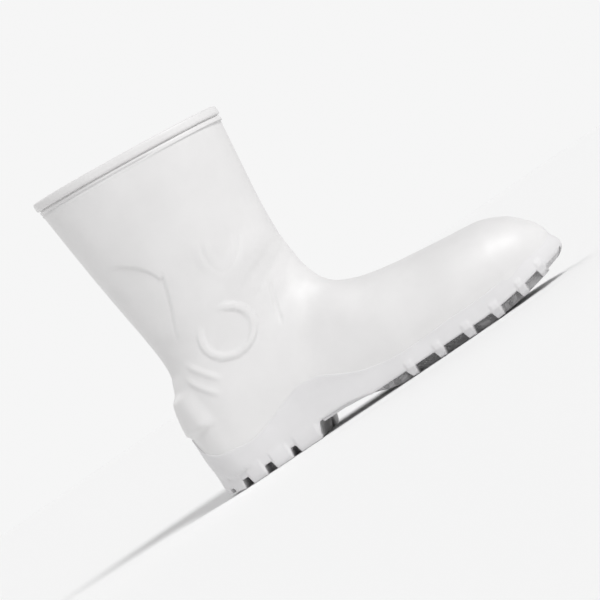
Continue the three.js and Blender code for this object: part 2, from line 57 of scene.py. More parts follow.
# %% A smooth curve through a table's rows
def along(places, values, at):
    places, values = np.asarray(places, float), np.asarray(values, float)
    rows = np.arange(len(places))
    before, after = np.maximum(rows - 1, 0), np.minimum(rows + 1, len(rows) - 1)
    slope = (values[after] - values[before]) / (places[after] - places[before])
    i = np.clip(np.searchsorted(places, at, side="right") - 1, 0, len(rows) - 2)
    span = places[i + 1] - places[i]
    t = np.clip((at - places[i]) / span, 0, 1)
    return ((2 * t**3 - 3 * t**2 + 1) * values[i] + (t**3 - 2 * t**2 + t) * slope[i] * span
            + (3 * t**2 - 2 * t**3) * values[i + 1] + (t**3 - t**2) * slope[i + 1] * span)


def smooth(start, end, x):
    t = np.clip((np.asarray(x, float) - start) / (end - start), 0, 1)
    return t * t * (3 - 2 * t)


# %% [markdown]
# The sole's outline is round at the heel and at the toe. Its rows are placed by the angle whose cosine
# gives the length, which sets them close together at both ends, where a plain length would leave corners.

# %% Outline of the sole
LENGTH = 304.0          # outsole, heel to toe
HEEL_BACK = -152.0      # x of the sole's back edge
MIDDLE_Y = -2.35        # y of the line that the widths are measured from
SOLE_OUTLINE = [  # share of the length, middle line in mm, half width in mm
    (0.000, 2.5, 0.0), (0.020, 2.5, 19.3), (0.055, 2.5, 30.2), (0.105, 2.6, 37.4), (0.170, 2.6, 41.0),
    (0.240, 2.4, 42.0), (0.310, 0.4, 42.4), (0.370, -3.9, 41.7), (0.430, -6.3, 42.4), (0.490, -5.2, 46.2),
    (0.560, -2.5, 51.2), (0.640, 0.7, 54.9), (0.718, 2.4, 56.0), (0.790, 2.6, 54.0), (0.862, 1.7, 48.4),
    (0.921, -0.3, 39.8), (0.960, -3.1, 29.1), (0.986, -7.6, 15.7), (1.000, -10.8, 0.0),
]
outline_rows = np.array(SOLE_OUTLINE)
outline_turns = np.arccos(1 - 2 * outline_rows[:, 0])


def sole_edges(turn):
    """x, middle and half width of the sole, in mm, at a turn from 0 at the heel to pi at the toe."""
    middle = along(outline_turns, outline_rows[:, 1], turn) + MIDDLE_Y
    half = np.maximum(along(outline_turns, outline_rows[:, 2], turn), 0)
    return HEEL_BACK + LENGTH / 2 * (1 - np.cos(turn)), middle, half


print("sole is widest at", round(float(sole_edges(np.linspace(0, math.pi, 400))[2].max() * 2), 1), "mm")

# %% [markdown]
# The sole's heights all follow the length. The tip springs up so that the boot rolls off, the back edge
# of the heel is moulded round, and the arch stands clear of the floor between the heel's breast and the
# ball of the foot. Each is one curve of x, so that the tread, the sides and the upper's lower edge all
# agree.

# %% Heights of the sole
LUG_DEPTH = 6.5
PLATE = 4.5
ARCH_RISE = 13.0


def share(x):
    return (np.asarray(x, float) - HEEL_BACK) / LENGTH


def toe_spring(x):
    return 12.0 * np.maximum(0, (share(x) - 0.77) / 0.23) ** 1.7


def arch_height(x):
    return ARCH_RISE * np.minimum(smooth(0.290, 0.312, share(x)), 1 - smooth(0.37, 0.535, share(x)))


def heel_bevel(x):
    return 3.5 * np.maximum(0, 1 - share(x) / 0.072) ** 1.4


def feather_line(x):
    """The height at which the upper ends, on top of the sole's plate."""
    return LUG_DEPTH + PLATE + toe_spring(x) + arch_height(x) / 2


def foot_seat(x):
    return toe_spring(x) + 15.5 + 9.5 * (1 - smooth(0.36, 0.62, share(x)))


FOXING_INNER = [  # x, z of the sole's top edge on the inner side
    (-152, 50), (-149, 50), (-143, 38), (-134, 31.4), (-125, 29.6), (-107, 27.1), (-86, 32.4), (-70, 37.6),
    (-58, 40.6), (-42, 38.6), (-26, 30.7), (-12, 24.8), (5, 21), (18, 19.4), (46, 19.6), (64, 20.2),
    (84, 20.1), (103, 21.5), (134, 28.5), (152, 32),
]
FOXING_OUTER = [  # the same on the outer side, where the arch isn't carried up
    (-152, 50), (-149, 50), (-143, 38), (-134, 31.4), (-125, 29.6), (-107, 27.1), (-86, 26.4), (-70, 26.0),
    (-42, 25.0), (-12, 22.8), (5, 21), (18, 20.0), (46, 19.6), (64, 20.2), (84, 20.1), (103, 21.5),
    (134, 28.5), (152, 32),
]
print("sole rises", round(float(toe_spring(152)), 1), "mm at the toe and", ARCH_RISE, "mm at the arch")

# %% [markdown]
# ## The upper
#
# It is one hollow moulding. A subdivided box could be pulled into a boot by hand, but then the length,
# ball, instep and collar would each be only as right as the hand. Sections of the last keep them right:
# each lies between a point on the front or top and one on the back or bottom, and the sections fan round
# the throat and the heel as the foot bends up into the leg.

# %% Sections of the last
LAST = [  # front x, z; back x, z; half width; middle; ridge; widest place; crown; skirt
    (148.6, 31.5, 148.6, 24.0, 4.0, -13.3, -3.9, 0.50, 2.00, 2.00),
    (147.3, 36.8, 147.3, 15.0, 9.6, -12.8, -3.9, 0.54, 2.05, 2.20),
    (143.5, 43.0, 143.5, 6.5, 17.8, -11.3, -3.9, 0.56, 2.10, 2.60),
    (136.5, 50.3, 136.5, 0.5, 27.4, -8.5, -3.9, 0.57, 2.10, 3.00),
    (131.5, 54.9, 131.5, -2.0, 32.4, -6.9, -3.9, 0.57, 2.10, 3.30),
    (125.0, 58.8, 125.0, -4.0, 37.0, -5.4, -3.9, 0.57, 2.10, 3.60),
    (117.0, 62.6, 117.0, -5.3, 41.6, -4.1, -3.9, 0.57, 2.10, 3.80),
    (108.0, 65.2, 108.0, -6.0, 45.8, -3.2, -3.9, 0.58, 2.10, 4.00),
    (86.0, 67.9, 86.0, -6.0, 51.1, -1.8, -3.9, 0.58, 2.05, 4.00),
    (63.0, 71.0, 62.9, -5.9, 52.8, -1.3, -3.9, 0.60, 1.90, 4.00),
    (40.0, 74.5, 39.5, -5.9, 51.2, -2.8, -3.9, 0.63, 1.85, 4.00),
    (20.0, 79.5, 16.7, -5.9, 48.2, -5.4, -3.9, 0.66, 1.80, 4.00),
    (5.0, 86.0, -9.1, -5.9, 43.0, -7.4, -2.4, 0.66, 1.80, 4.40),
    (-4.5, 95.0, -38.9, -5.9, 39.2, -6.2, -0.4, 0.66, 1.80, 5.00),
    (-9.5, 105.0, -70.5, -5.9, 38.5, -2.6, 0.0, 0.66, 1.80, 5.00),
    (-11.5, 113.0, -104.9, -5.9, 38.3, -1.5, 0.0, 0.65, 1.85, 4.60),
    (-12.2, 120.1, -134.4, -4.0, 38.6, -1.1, 0.0, 0.64, 1.85, 3.50),
    (-12.6, 125.5, -148.0, 16.0, 38.9, -1.0, 0.0, 0.62, 1.90, 2.70),
    (-12.9, 129.5, -149.6, 46.0, 39.1, -1.1, 0.0, 0.60, 1.90, 2.45),
    (-13.1, 132.9, -147.7, 66.0, 38.9, -1.3, 0.0, 0.57, 1.95, 2.30),
    (-13.2, 136.5, -143.8, 80.0, 38.6, -1.7, 0.0, 0.54, 1.95, 2.20),
    (-13.1, 140.5, -138.9, 92.0, 38.6, -2.0, 0.0, 0.52, 2.00, 2.10),
    (-12.8, 146.0, -136.8, 105.9, 38.9, -2.4, 0.0, 0.50, 2.00, 2.05),
    (-11.9, 157.0, -138.1, 128.0, 38.0, -2.4, 0.0, 0.50, 2.05, 2.05),
    (-10.1, 172.9, -141.1, 156.0, 39.3, -2.4, 0.0, 0.50, 2.05, 2.05),
    (-7.3, 192.0, -144.1, 186.0, 40.8, -2.4, 0.0, 0.50, 2.05, 2.05),
    (-4.3, 212.0, -146.6, 216.0, 42.1, -2.4, 0.0, 0.50, 2.05, 2.05),
    (-1.0, 234.1, -149.1, 249.3, 42.8, -2.4, 0.0, 0.50, 2.05, 2.05),
    (-0.4, 240.0, -149.4, 256.0, 43.0, -2.4, 0.0, 0.50, 2.05, 2.05),
]
last_rows = np.array(LAST)
front_step = np.hypot(*np.diff(last_rows[:, 0:2], axis=0).T)
back_step = np.hypot(*np.diff(last_rows[:, 2:4], axis=0).T)
row_places = np.concatenate([[0], np.cumsum((front_step + back_step) / 2)])
print(len(LAST), "sections over", round(float(row_places[-1])), "mm of last")

# %% [markdown]
# Round each section the points are set at even steps along the curve. Even steps of angle would crowd
# them at the top and leave wide gaps at the sides, where the ankle's rings and ridges need them.

# %% Points round one section
AROUND = 224
OUTER_STEP, INNER_STEP = 1.35, 6.0      # mm between the rings of the outer and of the inner skin


def section_ring(row):
    front_x, front_z, back_x, back_z, half, middle, ridge, wide, crown, skirt = row
    reach = np.sin(np.linspace(0, math.pi / 2, 240))
    top = wide * (1 - reach[::-1]), (1 - reach[::-1]**crown) ** (1 / crown)
    low = wide + (1 - wide) * reach[1:], (1 - reach[1:]**skirt) ** (1 / skirt)
    down = np.concatenate([top[0], low[0]])
    out = np.concatenate([top[1], low[1]])
    lean = ridge * np.maximum(0, 1 - down / wide)
    sides = []
    for side in (-1, 1):
        x = front_x + (back_x - front_x) * down
        z = front_z + (back_z - front_z) * down
        y = middle + lean + side * half * out
        step = np.sqrt(np.diff(x)**2 + np.diff(y)**2 + np.diff(z)**2)
        gone = np.concatenate([[0], np.cumsum(step)])
        even = np.linspace(0, gone[-1], AROUND // 2 + 1)
        sides.append(np.stack([np.interp(even, gone, c) for c in (x, y, z)], axis=1))
    return np.concatenate([sides[0], sides[1][-2:0:-1]])


def last_surface(step):
    """Rings over the whole last, about that many millimetres apart."""
    places = np.linspace(0, row_places[-1], int(row_places[-1] / step))
    rows = np.stack([along(row_places, column, places) for column in last_rows.T], axis=1)
    return np.stack([section_ring(row) for row in rows])


def outward(rings):
    along_last = np.gradient(rings, axis=0)
    around = np.roll(rings, -1, axis=1) - np.roll(rings, 1, axis=1)
    normal = np.cross(along_last, around)
    normal /= np.maximum(np.linalg.norm(normal, axis=2, keepdims=True), 1e-9)
    away = rings - rings.mean(axis=1, keepdims=True)
    return normal * np.sign((normal * away).sum(axis=2).mean())


outer_rings = last_surface(OUTER_STEP)
outer_normals = outward(outer_rings)
print("outer skin:", outer_rings.shape[0], "rings of", AROUND, "points")

# %% [markdown]
# ### Marks in the moulded skin
#
# The mould leaves low ridges and grooves on the boot: a ring on each ankle bone, flex ribs behind it, a
# chevron on the leg, a panel round the back, and a bulge at the heel for kicking the boot off. They could
# be painted as bump, but the ring and the ribs are a millimetre high and catch the light on their own, so
# the surface itself is moved, by an amount worked out from the distance to each line drawn on the side.

# %% Distance to a drawn line
def line_distance(x, z, corners):
    """Distance to an open line, and how far along it the nearest place is, from 0 to 1."""
    nearest, place = np.full(x.shape, 1e9), np.zeros(x.shape)
    pairs = list(zip(corners[:-1], corners[1:]))
    for i, ((ax, az), (bx, bz)) in enumerate(pairs):
        span = (bx - ax)**2 + (bz - az)**2
        t = np.clip(((x - ax) * (bx - ax) + (z - az) * (bz - az)) / span, 0, 1)
        gap = np.hypot(x - ax - t * (bx - ax), z - az - t * (bz - az))
        closer = gap < nearest
        nearest = np.where(closer, gap, nearest)
        place = np.where(closer, (i + t) / len(pairs), place)
    return nearest, place


def rounded_line(corners, count=24):
    corners = np.array(corners, float)
    gone = np.concatenate([[0], np.cumsum(np.hypot(*np.diff(corners, axis=0).T))])
    at = np.linspace(0, gone[-1], count)
    return list(zip(along(gone, corners[:, 0], at), along(gone, corners[:, 1], at)))


def swell(gap, half_width):
    return np.cos(np.clip(gap / half_width, 0, 1) * math.pi / 2) ** 2


def faded(place, ends=0.18):
    return smooth(0, ends, place) * (1 - smooth(1 - ends, 1, place))


# %% [markdown]
# The lines are drawn on the side view, x to the toe and z up, in millimetres. Both sides of the boot
# carry them, as the two halves of the mould are cut alike. The soft waves where the ankle bends are drawn
# too, as shallow troughs and swells across the throat, the vamp and the back of the heel.

# %% Lines on the side view
FRONT_LINE = rounded_line([(-32.7, 115), (-35.4, 107), (-38.6, 98.8), (-41, 90), (-43.1, 81.2)])
CHEVRON = rounded_line([(-54.7, 166.7), (-60.2, 154.5), (-60, 145), (-57.3, 138.3), (-52, 136.2),
                        (-46.9, 137.2), (-37.3, 145.2), (-31.1, 157.7)])
PANEL_TOP = rounded_line([(-138, 181), (-128, 183.5), (-119.5, 183), (-111, 178), (-104, 172),
                          (-99, 165), (-96, 158)])
PANEL_CORNERS = [(-92, 164), (-96, 152.6), (-102, 138), (-109.5, 123), (-114, 114)]
PANEL_FRONT = rounded_line(PANEL_CORNERS)
FLEX_RIBS = [rounded_line([(-120, 101), (-109.5, 86.6), (-98.5, 73)]),
             rounded_line([(-125.5, 92), (-114.8, 75.8), (-105.5, 65)])]
ANKLE_RING = dict(x=-77.5, z=101.0, half_x=19.8, half_z=17.3, band=2.9, height=1.2, open_at=108.0)
LINE_HALF = 1.9         # half width of the grooves that the cutter drew
FRONT_DEPTH, CHEVRON_DEPTH, CHEVRON_SWELL, PANEL_DEPTH = 0.75, 0.6, 0.4, 0.5
RIB_HALF, RIB_HEIGHT, PANEL_SUNK, LEDGE_PROUD = 3.2, 1.3, 1.0, 3.0
SOFT_FOLDS = [  # from, to, half width, how far out
    ((-16, 128), (-46, 118), 10, -0.45), ((-10, 112), (-42, 104), 9, 0.3), ((2, 92), (-30, 76), 10, -0.5),
    ((26, 80), (2, 52), 11, -0.45), ((44, 78), (24, 48), 10, 0.3), ((-132, 118), (-100, 110), 9, -0.5),
]
print(len(FLEX_RIBS), "ribs and", len(SOFT_FOLDS), "soft folds on each side")

# %% [markdown]
# Each mark adds its own height to the skin: a groove takes some off, a rib puts some on, and both fade at
# their ends as the cutter left the mould. The heel's ledge goes round the back, so it follows the height
# above the floor. A displacement map could do the same, but an amount in mm for each point can be
# checked.

# %% How far the marks stand out
def mould_marks(x, z):
    """How far the skin stands out at a place on the side view, in mm."""
    out = np.zeros(x.shape)
    gap, place = line_distance(x, z, FRONT_LINE)
    out -= FRONT_DEPTH * swell(gap, LINE_HALF) * faded(place)
    gap, place = line_distance(x, z, CHEVRON)
    arms = faded(place, 0.14) * (0.25 + 0.75 * smooth(0.1, 0.3, np.abs(place - 0.5)))
    out -= CHEVRON_DEPTH * swell(gap, 2.1) * arms
    out += CHEVRON_SWELL * swell(gap - 4.0, 4.0) * arms
    gap, place = line_distance(x, z, PANEL_FRONT)
    out -= PANEL_DEPTH * swell(gap, LINE_HALF) * faded(place, 0.1)
    corner_x, corner_z = np.array(PANEL_CORNERS[::-1]).T
    front_x = np.interp(z, corner_z, corner_x)
    top_z = np.interp(x, *np.array(PANEL_TOP).T)
    inside = smooth(-0.9, 0.9, top_z - z) * smooth(-0.9, 0.9, front_x - x) * smooth(112, 138, z)
    out -= PANEL_SUNK * inside * smooth(-134, -112, x)
    for rib in FLEX_RIBS:
        gap, place = line_distance(x, z, rib)
        out += RIB_HEIGHT * swell(gap, RIB_HALF) * faded(place, 0.3)
    ring = ANKLE_RING
    dx, dz = (x - ring["x"]) / ring["half_x"], (z - ring["z"]) / ring["half_z"]
    radius = np.hypot(dx, dz)
    angle = np.degrees(np.arctan2(dz, dx))
    turned = np.abs((angle - ring["open_at"] + 180) % 360 - 180)
    from_ring = np.abs(radius - 1) * (ring["half_x"] + ring["half_z"]) / 2
    band = 1 - smooth(ring["band"] - 1.0, ring["band"], from_ring)
    out += ring["height"] * band * smooth(18, 62, turned)
    for start, end, half, depth in SOFT_FOLDS:
        gap, place = line_distance(x, z, [start, end])
        out += depth * swell(gap, half) * faded(place, 0.4)
    return out


def heel_bulge(x, z):
    """The ledge round the back of the heel that the other foot pushes against."""
    height = smooth(50.5, 54.5, z) * (1 - smooth(77, 84, z)) + 0.3 * swell(z - 91, 5)
    return LEDGE_PROUD * height * (1 - smooth(-134, -121, x + 0.12 * (z - 68)))


moved = outer_rings.copy()
marks = mould_marks(moved[..., 0], moved[..., 2]) + heel_bulge(moved[..., 0], moved[..., 2])
moved += outer_normals * marks[..., None]
print("marks stand between", round(float(marks.min()), 2), "and", round(float(marks.max()), 2), "mm")

# %% [markdown]
# ### Collar
#
# The top of the boot ends in a narrow band with a dark groove under it. Its profile is drawn once, as
# pairs of how far below the top and how far out of the leg's surface, and carried round the collar. The
# same profile then turns over the top and becomes the inner wall, one wall's thickness behind the outer
# one.

# %% Collar band and inner wall
WALL = 2.6
BAND_ROOM = 12.5        # the leg's own rings stop this far below the top, to leave room for the band
INNER_TOP = 4.0         # the inner wall's rings start this far below the top
COLLAR_PROFILE = [  # below the top, out of the leg
    (11.2, 0.0), (10.6, -0.7), (9.9, -0.7), (9.4, 0.0), (7.9, 0.0), (7.5, -1.3), (6.9, -1.5), (6.5, 0.75),
    (6.0, 1.08), (4.6, 1.15), (2.6, 1.15), (1.2, 1.0), (0.45, 0.65), (0.05, 0.1), (0.0, -0.8), (0.15, -1.6),
    (0.6, -2.3), (1.4, -2.6),
]
collar = outer_rings[-1]
collar_out = outer_normals[-1] * [1, 1, 0]
collar_out /= np.linalg.norm(collar_out, axis=1, keepdims=True)
back = AROUND // 2      # the point at the middle of the back
below_collar = int(np.argmax(outer_rings[:, back, 2] > collar[back, 2] - BAND_ROOM))
# The faint second line under the band shows only on the inner side, towards the back.
second_line = (smooth(-44, -58, collar[:, 0]) * smooth(4, -8, collar[:, 1]))[:, None]
profile_rings = [collar - [0, 0, drop] + collar_out * proud * (second_line if drop > 8.5 else 1)
                 for drop, proud in COLLAR_PROFILE]
inner_rings = last_surface(INNER_STEP)
inner_rings = (inner_rings - outward(inner_rings) * WALL)[::-1]
inner_rings = inner_rings[inner_rings[:, back, 2] < collar[back, 2] - INNER_TOP]
skin_rings = np.concatenate([moved[:below_collar], profile_rings, inner_rings])
print("upper:", len(skin_rings), "rings from the toe over the collar and back inside")

# %% [markdown]
# A grid with as many cells as there are rings and points is laid over the rings, and its first and last
# columns are welded. That gives the same tube as extruding an edge loop ring by ring, in one call.

# %% Laying a grid over rings
WELD = 2e-6             # metres


def grid_over(rings):
    """A bmesh tube whose vertices lie on the rings, in metres. Both ends are still open."""
    closed = np.concatenate([rings, rings[:, :1]], axis=1) * MM
    count, wide = closed.shape[:2]
    bm = bmesh.new()
    bmesh.ops.create_grid(bm, x_segments=wide - 1, y_segments=count - 1, size=0.5)
    for v in bm.verts:
        column = round((v.co.x + 0.5) * (wide - 1))
        row = round((v.co.y + 0.5) * (count - 1))
        v.co = closed[row, column]
    bmesh.ops.remove_doubles(bm, verts=bm.verts, dist=WELD)
    return bm


def open_edges(bm):
    return [e for e in bm.edges if len(e.link_faces) == 1]


def finish_piece(bm, name, body="root"):
    bmesh.ops.recalc_face_normals(bm, faces=bm.faces)
    for face in bm.faces:
        face.smooth = True
    mesh = bpy.data.meshes.new(name)
    bm.to_mesh(mesh)
    loose = len(open_edges(bm))
    bm.free()
    piece = bpy.data.objects.new(name, mesh)
    bpy.context.scene.collection.objects.link(piece)
    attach(piece, body)
    triangles = sum(len(p.vertices) - 2 for p in mesh.polygons)
    print(name, "has", triangles, "triangles and", loose, "open edges")
    return piece


# %% [markdown]
# The sole closes the boot underneath, so both skins are cut off at the feather line, where the real upper
# meets the sole. Faces below the line go, the points left just under it are drawn up to it, and the two
# edges are bridged, which closes the wall.

# %% The upper
CUT_ABOVE = 0.3         # mm from the feather line to the cut
bm = grid_over(skin_rings)
bmesh.ops.holes_fill(bm, edges=open_edges(bm), sides=0)


def under_line(v):
    return v.co.z / MM < float(feather_line(v.co.x / MM)) + CUT_ABOVE


below = {v for v in bm.verts if under_line(v)}
gone = [f for f in bm.faces if all(v in below for v in f.verts)]
bmesh.ops.delete(bm, geom=gone, context="FACES")
for v in bm.verts:
    if under_line(v):
        v.co.z = (float(feather_line(v.co.x / MM)) + CUT_ABOVE) * MM
bmesh.ops.bridge_loops(bm, edges=open_edges(bm))
upper_tree = BVHTree.FromBMesh(bm)
upper = finish_piece(bm, "boot_upper")
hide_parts("upper")

# %% [markdown]
# ## The sole
#
# The tread is cut into the mould as flat-bottomed pockets between bars, so seen from below it is a
# drawing: each place is either on the tread's face or in a pocket, with a short sloped wall between. The
# plan is kept as corner lists, and the height of every point of a fine grid is read from its distance to
# them. Cutting the pockets out with boolean solids would also do it, but leaves long thin faces that
# shade badly.

# %% Plan of the tread, in mm from the back of the sole
PLAN_START = -152.5
PADS = [
    [(136, -42), (240, -39), (262, -33), (272, -28), (281, -20), (284, -5), (282, 8), (277, 13), (262, 18),
     (256, 20), (239, 25), (233, 26), (216, 27), (193, 26), (187, 25), (170, 20), (163, 16), (147, 12),
     (136, 12)],
    [(31, -19), (60, -22), (96, -22), (96, 8), (40, 8), (33, 2), (30, -8)],
    [(-7, -50), (19, -50), (20, -35), (21, -25), (22, -10), (20, -3), (21, 8), (26, 16), (30, 24), (33, 31),
     (33, 50), (-7, 50)],
    [(285, -52), (290, -52), (286, -20), (285, 0), (282, 20), (280, 40), (275, 40), (278, 20), (280, 0),
     (281, -20)],
]
TOE_WRAP = [(287, -50), (310, -50), (310, 50), (281, 50), (283, 20), (286, 0)]
INNER_BARS = [(169.5, 175), (193.5, 199), (218, 224), (242, 248), (265, 270)]
OUTER_BARS = [(163, 170), (187, 193), (210, 216), (233, 239), (256, 262)]
HEEL_INNER = [(28, 41), (49.5, 64), (71, 90.5)]
HEEL_OUTER = [(35, 50), (57, 71), (78, 92)]
FLEX_NUBS = [107, 118, 129]
POCKET_GROWN = 0.7      # the pockets are cut this much beyond their corners
POCKETS = [
    [(161, -30), (175, -30), (186, -8), (182, -6.5), (177, -8), (164, -21)],
    [(181, -31), (195, -31), (201.5, -20), (197, -19), (190, -21)],
    [(202, -31), (218, -31), (232, -7), (227, -5.5), (221, -6), (206, -22)],
    [(224, -30), (241, -29), (247.5, -19), (243, -18), (235, -20)],
    [(248, -26), (268, -19), (275, -8.5), (270, -6), (263, -7), (252, -18)],
    [(188, -17), (203, -16), (210.5, -4), (207, -1), (201, 0), (192, -10)],
    [(232, -16), (248, -16), (256, -5), (252, -1), (246, 0), (237, -9)],
    [(169, -6), (185, -4), (181, 2), (170, 3)],
    [(215, -3), (231, -3), (224, 4), (212, 13), (208, 11), (214, 4)],
    [(258, -4), (274, -4), (268, 3), (259, 8), (256, 6)],
    [(181, 7), (196, 8), (191, 14), (185, 14)],
    [(226, 8), (241, 9), (236, 15), (230, 15)],
    [(40, -3), (44, -8), (54, 2), (50, 6)],
    [(56, -4), (61, -9), (71, 0), (67, 5)],
    [(72, -5), (76, -10), (87, 0), (82, 5)],
    [(6, -21), (10, -26), (19, -15), (15, -11)],
    [(3, -2), (13, -1.5), (15, 4), (5, 5)],
]
HEEL_NOTCH = [(14.5, 17), (19, 15.5), (24, 18), (23.5, 24), (20, 34), (17, 60), (9, 60), (12, 30)]
HEEL_FACETS = [  # soft hollows between the heel's inner lugs and its pad
    [(71, -19.5), (72, -17), (77.5, -13.5), (86, -21)],
    [(44, -17), (46, -8), (50, -11.3), (57.5, -13.3), (63.3, -12.4), (69, -20.4)],
    [(28, -13.5), (27.7, -6), (33, -0.7), (44, -7.8), (42.1, -16.5)],
]
ARCH_PANEL = [(96, -60), (96, -28), (98.5, -25.2), (118, -24.6), (140, -25), (143, -28), (143, -60)]
BADGE = dict(x=113.5, y=-6.5, half_x=20.0, half_y=10.6)


def plan_bar(ends, inner, outer):
    return [(ends[0], inner), (ends[1], inner), (ends[1], outer), (ends[0], outer)]


bars = ([plan_bar(e, -62, -34 if e[0] < 260 else -26) for e in INNER_BARS]
        + [plan_bar(e, 12, 62) for e in OUTER_BARS] + [plan_bar(e, -55, -18) for e in HEEL_INNER]
        + [plan_bar(e, 15, 55) for e in HEEL_OUTER])
print(len(bars), "bars,", len(POCKETS), "pockets,", len(PADS), "pads")

# %% [markdown]
# The distance to a polygon counts as positive inside it. The larger of two such distances joins two
# shapes and the smaller cuts one by another, so the whole tread is one number at each point of the plan:
# positive on the face, negative in the pockets.

# %% Signed distance to the tread's face
def inside_distance(x, y, corners):
    gap = np.full(x.shape, 1e9)
    inside = np.zeros(x.shape, bool)
    for (ax, ay), (bx, by) in zip(corners, corners[1:] + corners[:1]):
        t = np.clip(((x - ax) * (bx - ax) + (y - ay) * (by - ay)) / ((bx - ax)**2 + (by - ay)**2), 0, 1)
        gap = np.minimum(gap, np.hypot(x - ax - t * (bx - ax), y - ay - t * (by - ay)))
        if ay != by:
            crosses = ((ay > y) != (by > y)) & (x < ax + (y - ay) * (bx - ax) / (by - ay))
            inside ^= crosses
    return np.where(inside, gap, -gap)


def tread_distances(x, y):
    """Distances, positive inside, to the raised shapes, to the pockets and to the heel's notch."""
    raised = np.full(x.shape, -1e9)
    for shape in PADS + bars:
        raised = np.maximum(raised, inside_distance(x, y, shape))
    pocket = np.full(x.shape, -1e9)
    for shape in POCKETS:
        pocket = np.maximum(pocket, inside_distance(x, y, shape) + POCKET_GROWN)
    return raised, pocket, inside_distance(x, y, HEEL_NOTCH)


def face_distance(x, y):
    raised, pocket, notch = tread_distances(x, y)
    return np.minimum(np.minimum(raised, -pocket), -notch)


# %% [markdown]
# The grid follows the sole's outline: its long lines run from heel to toe at equal shares of the width.
# Where a line of the drawing passes between two points, the nearest ones are pulled onto it, so that the
# lugs keep straight edges instead of stepping from cell to cell.

# %% Grid under the sole
ALONG, ACROSS = 460, 111
DRAFT = 1.2             # run of the lugs' walls, so that the sole leaves its mould
PULL = 0.45             # most that a point is pulled, as a share of its cell
PROBE = 0.05            # step in mm for the slope of the distance
turns = np.linspace(0, math.pi, ALONG + 1)
edge_x, edge_mid, edge_half = sole_edges(turns)
shares = np.linspace(-1, 1, ACROSS)
plan_x = np.repeat(edge_x[:, None], ACROSS, axis=1)
plan_y = edge_mid[:, None] + edge_half[:, None] * shares[None, :]


def pull_to_lines(x, y):
    reach = PULL * np.minimum(np.gradient(x, axis=0), np.gradient(y, axis=1))
    here = face_distance(x - PLAN_START, y)
    slope_x = face_distance(x - PLAN_START + PROBE, y) - here
    slope_y = face_distance(x - PLAN_START, y + PROBE) - here
    steep = np.maximum(np.hypot(slope_x, slope_y), 1e-6)
    wanted = np.where(np.abs(here) < np.abs(here + DRAFT), -here, -(here + DRAFT))
    room = np.zeros(x.shape)
    room[2:-2, 2:-2] = 1
    move = np.where(np.abs(wanted) < reach, wanted, 0) * room
    return x + move * slope_x / steep, y + move * slope_y / steep


plan_x, plan_y = pull_to_lines(plan_x, plan_y)
edge_line = np.concatenate([np.stack([edge_x, edge_mid - edge_half], 1),
                            np.stack([edge_x, edge_mid + edge_half], 1)[-2:0:-1]])
print("grid of", ALONG, "by", ACROSS - 1, "cells, up to", round(float(np.diff(edge_x).max()), 2), "mm long")

# %% [markdown]
# Everything at the sole's rim depends on how far away the rim is, so that distance comes first. The
# corner between tread and side is rounded by a quarter of an ellipse, which a bevel could cut as well,
# but only where the edges are clean, and here lugs and pockets run out into it.

# %% Distance to the sole's edge
def edge_distance(x, y):
    gap = np.full(x.shape, 1e9)
    for (ax, ay), (bx, by) in zip(edge_line, np.roll(edge_line, -1, axis=0)):
        span = max((bx - ax)**2 + (by - ay)**2, 1e-9)
        t = np.clip(((x - ax) * (bx - ax) + (y - ay) * (by - ay)) / span, 0, 1)
        gap = np.minimum(gap, np.hypot(x - ax - t * (bx - ax), y - ay - t * (by - ay)))
    return gap


def rounded_edge(gap, width, rise):
    inward = np.clip(1 - gap / width, 0, 1)
    return rise * (1 - np.sqrt(1 - inward**2))


plan_gap = edge_distance(plan_x, plan_y)
plan_gap[:, [0, -1]] = 0
print("the middle of the sole is", round(float(plan_gap.max()), 1), "mm from its edge")

# %% [markdown]
# Under the arch the mould leaves a raised panel on the inner side, an oval badge with two rims, left
# empty here, and three flex nubs that run out over the outer edge. Round the pads run shallow grooves.
# They are added as heights to the same grid, because separate pieces laid on the arch would show their
# seams.

# %% Arch and grooves
PANEL_PROUD, RIM_PROUD, NUB_PROUD = 4.0, 2.6, 3.2
BADGE_MM = 12                                       # mm for one whole of the oval's own measure
BADGE_RIMS = [(0.97, 0.75, 1.3), (0.76, 0.65, 1.2)]  # share of the oval, height, half width
GROOVES = [  # line, depth, half width
    ([(145, -25), (150, -26), (154, -20), (154, -5)], 0.8, 1.1),
    ([(287, -25), (292, -20), (295, -12), (295, 0), (292, 10)], 2.2, 1.6),
]
TOE_NOTCHES = [[(294, -14), (304, -21)], [(292, 2), (302, 8)]]
NOTCH_DEPTH, FACET_DEPTH = 3.6, 1.4


def arch_details(x, y, gap):
    """How far the panel, the badge's rims and the flex nubs stand down out of the arch."""
    panel = smooth(-0.1, 1.0, np.minimum(inside_distance(x, y, ARCH_PANEL), gap - 2.3))
    rim = (1 - smooth(0.6, 1.3, gap)) * smooth(-26, -30, y)
    panel = (PANEL_PROUD * panel + RIM_PROUD * rim) * (1 - smooth(117, 142, x))
    oval = np.hypot((x - BADGE["x"]) / BADGE["half_x"], (y - BADGE["y"]) / BADGE["half_y"])
    rims = sum(high * swell(np.abs(oval - at) * BADGE_MM, half) for at, high, half in BADGE_RIMS)
    nubs = np.zeros(x.shape)
    for middle in FLEX_NUBS:
        off = np.abs(x - middle)
        nub = (1 - smooth(1.2, 2.5, off)) * NUB_PROUD * smooth(13, 32, y)
        nubs = np.maximum(nubs, np.maximum(nub, 0.6 * swell(off, 1.4) * smooth(8, 12, y)))
    return np.maximum(np.maximum(panel, rims), nubs)


